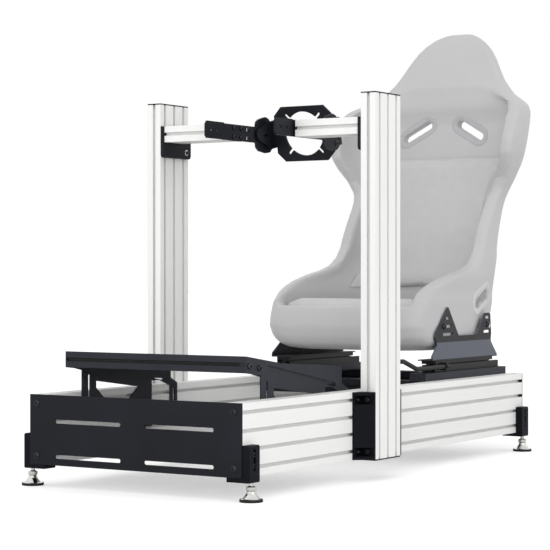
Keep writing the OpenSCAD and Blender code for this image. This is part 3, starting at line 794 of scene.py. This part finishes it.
def close_harness_slots(mesh):
    x, z, turn, length, width = SOLID_HARNESS
    bm = bmesh.new()
    bm.from_mesh(mesh)
    bmesh.ops.remove_doubles(bm, verts=bm.verts, dist=MERGE)

    def on_wall(vert):
        height = vert.co.z - SEAT_Z
        away = from_slot(abs(vert.co.x) - x, height - z, turn, length, width)
        return height > z - length and abs(away) < ON_WALL

    walls = [face for face in bm.faces if all(on_wall(vert) for vert in face.verts)]
    bmesh.ops.delete(bm, geom=walls, context="FACES")
    rims = [edge for edge in bm.edges if edge.is_boundary]
    bmesh.ops.holes_fill(bm, edges=rims, sides=0)
    bmesh.ops.recalc_face_normals(bm, faces=bm.faces)
    bm.to_mesh(mesh)
    bm.free()


# How the seat's forms depart from its solids at each height: width factor, how far the base's front reaches
# forward and its rear back, and how far the whole section leans forward.
FULLER = (
    (0.074, 1.16, 0.047, 0.010, 0.0),
    (0.080, 1.11, 0.042, 0.020, 0.0),
    (0.091, 1.055, 0.031, 0.030, 0.0),
    (0.110, 1.025, 0.022, 0.038, 0.0),
    (0.145, 1.005, 0.014, 0.032, 0.0),
    (0.180, 1.0, 0.010, 0.020, 0.0),
    (0.220, 1.0, 0.006, 0.008, 0.0),
    (0.260, 1.0, 0.003, 0.002, 0.0),
    (0.300, 1.0, 0.0, 0.0, 0.001),
    (0.400, 1.0, 0.0, 0.0, 0.009),
    (0.550, 1.0, 0.0, 0.0, 0.012),
    (0.760, 1.01, 0.0, 0.0, 0.012),
    (0.800, 1.045, 0.0, 0.0, 0.012),
    (0.985, 1.06, 0.0, 0.0, 0.012),
)

# Between these places, fore and aft, the forward reach fades out and the rear one fades in.
FULLER_FRONT = (0.05, 0.30)
FULLER_REAR = (0.28, 0.50)


def fuller(points):
    heights, factors, forward, back, lean = np.array(FULLER).T
    y, z = points[:, 1] - SEAT_Y, points[:, 2] - SEAT_Z
    moved = points.copy()
    moved[:, 0] *= np.interp(z, heights, factors)
    moved[:, 1] += np.interp(z, heights, back) * eased(y, FULLER_REAR)
    front = np.interp(z, heights, forward) * (1 - eased(y, FULLER_FRONT))
    moved[:, 1] -= front + np.interp(z, heights, lean)
    return moved


# Seat shell. Its first smoothing is weak at the lap openings, which lie further out than SIDE_START: its
# share is LAP_LEAST at an opening's edge, rises a little outside LAP_KEPT, and is whole LAP_FADE further out.
SHELL_VOXEL = 0.006
SHELL_ROUNDS = 26
SIDE_START = 0.17
LAP_KEPT = 0.004
LAP_FADE = 0.02
LAP_LEAST = 0.12

# The second smoothing is for the base alone.
BASE_ROUNDS = 6
BASE_TOP = 0.15
BASE_FADE = 0.03


def make_shell():
    piece = solid_copy("seat_shell")
    close_harness_slots(piece.data)
    mesh = remeshed(piece, SHELL_VOXEL)
    points = points_of(mesh)
    ly, lz, turn, length, width = LAP
    near = from_slot(points[:, 1] - SEAT_Y - ly, points[:, 2] - SEAT_Z - lz, turn, length, width)
    near = np.where(np.abs(points[:, 0]) > SIDE_START, near, 1.0)
    smoothed(mesh, SHELL_ROUNDS, np.clip((near - LAP_KEPT) / LAP_FADE, LAP_LEAST, 1.0)[:, None])
    points = points_of(mesh)
    z = points[:, 2] - SEAT_Z
    put_points(mesh, fuller(points))
    smoothed(mesh, BASE_ROUNDS, np.clip((BASE_TOP - z) / BASE_FADE, 0, 1)[:, None])
    mesh.materials.append(SHELL)
    shade_smooth(mesh)
    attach(piece, "seat")
    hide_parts("seat_shell")
    return piece


# Bezels around the openings. Each ring is (how far outside the opening, as a share of the bezel's width, and
# how high off the shell). Rays from in front of the backrest, or from beside the seat, find the shell.
HARNESS_BAND = 0.016
LAP_BAND = 0.021
BAND_RINGS = (
    (0.06, -0.0080),
    (0.06, 0.0010),
    (0.14, 0.0018),
    (0.80, 0.0018),
    (0.95, 0.0010),
    (1.0, -0.0006),
    (0.5, -0.0060),
)
BAND_SHARP = 50
RAY_FRONT = 0.2
RAY_SIDE = 0.5

# The harness openings are cut by prisms around this place behind the seat's front, this long each way.
CUTTER_MIDDLE = 0.6
CUTTER_REACH = 0.3
SHELL_SHARP = 45


def cross_plane(y):
    return lambda u, v: by_seat(u, y, v)


def side_plane(x):
    return lambda u, v: by_seat(x, u, v)


def band(name, tree, slot, side, width, start_at, way, mat):
    bm = bmesh.new()
    rings = []
    for share, rise in BAND_RINGS:
        ring = []
        for u, v in slot_outline(slot, share * width, side):
            hit = tree.ray_cast(start_at(u, v), way)[0]
            ring.append(bm.verts.new(hit - way * rise))
        rings.append(ring)
    for low, high in zip(rings, rings[1:] + rings[:1]):
        bridge(bm, low, high)
    bmesh.ops.recalc_face_normals(bm, faces=bm.faces)
    add_piece(name, bm, mat, "seat", BAND_SHARP)


def prism(name, outline, place, axis, reach):
    bm = bmesh.new()
    rings = [[bm.verts.new(place(u, v) + axis * way * reach) for u, v in outline] for way in (-1, 1)]
    bridge(bm, *rings)
    for ring in rings:
        bm.faces.new(ring)
    bmesh.ops.recalc_face_normals(bm, faces=bm.faces)
    return bpy.data.objects.new(name, mesh_from(bm, name))


def make_bezels(shell):
    tree = surface_tree(shell)
    rearward = Vector((0, 1, 0))
    cutters = []
    for side, name in ((1, "left"), (-1, "right")):
        before = cross_plane(RAY_FRONT)
        band(name + "_harness_bezel", tree, HARNESS, side, HARNESS_BAND, before, rearward, TRIM)
        outline = slot_outline(HARNESS, 0, side)
        cutters.append(prism("slot_cutter", outline, cross_plane(CUTTER_MIDDLE), rearward, CUTTER_REACH))
        beside, inward = side_plane(side * RAY_SIDE), Vector((-side, 0, 0))
        band(name + "_lap_bezel", tree, LAP, 1, LAP_BAND, beside, inward, PALE_TRIM)
    for cutter in cutters:
        bpy.context.scene.collection.objects.link(cutter)
        cut = shell.modifiers.new("slot", "BOOLEAN")
        cut.operation = "DIFFERENCE"
        cut.solver = "EXACT"
        cut.object = cutter
    mesh = applied(shell)
    for cutter in cutters:
        bpy.data.objects.remove(cutter)
    mesh.set_sharp_from_angle(angle=math.radians(SHELL_SHARP))


# Padded pieces. Each is shrunk by shrink, then blown up by the cloth simulation. That move is weighted along
# each axis by hold and kept under cap. A point outside the shell stays put where LOOK_AHEAD times its move
# would end inside the shell.
PAD_VOXEL = 0.005
PAD_ROUNDS = 4
BLOWN_ROUNDS = 3
PRESSURE = 4.0
LAST_FRAME = 20
LOOK_AHEAD = 1.4
TINY = 1e-9


def blown_points(piece):
    cloth = piece.modifiers.new("cloth", "CLOTH")
    cloth.settings.use_pressure = True
    cloth.settings.uniform_pressure_force = PRESSURE
    cloth.settings.effector_weights.gravity = 0
    for number in range(1, LAST_FRAME + 1):
        bpy.context.scene.frame_set(number)
    graph = bpy.context.evaluated_depsgraph_get()
    points = points_of(piece.evaluated_get(graph).data)
    piece.modifiers.clear()
    bpy.context.scene.frame_set(1)
    return points


def make_pad(node, shell, shrink, cap, hold):
    piece = solid_copy(node)
    mesh = remeshed(piece, PAD_VOXEL)
    smoothed(mesh, PAD_ROUNDS)
    points = fuller(points_of(mesh) - shrink * normals_of(mesh))
    put_points(mesh, points)
    move = (blown_points(piece) - points) * np.array(hold)
    size = np.linalg.norm(move, axis=1)[:, None]
    move *= np.minimum(1, cap / np.maximum(size, TINY))
    tree = surface_tree(shell)
    move[inside(tree, points + LOOK_AHEAD * move) & ~inside(tree, points)] = 0
    put_points(piece.data, points + move)
    smoothed(piece.data, BLOWN_ROUNDS)
    fine = piece.modifiers.new("fine", "SUBSURF")
    fine.levels = 1
    fine.render_levels = 1
    mesh = applied(piece)
    mesh.materials.append(CLOTH)
    shade_smooth(mesh)
    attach(piece, "seat")
    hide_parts(node)


make_camera()
make_world()
make_floor()
make_lights()
dress_nodes()
make_fasteners()
make_foot_rims()
make_sleeves()
make_groove_painted_shadow()
shell = make_shell()
make_bezels(shell)
make_pad("seat_cushion", shell, shrink=0.004, cap=0.010, hold=(0.35, 0.5, 1.0))
make_pad("back_cushion", shell, shrink=0.003, cap=0.008, hold=(0.1, 1.0, 0.3))
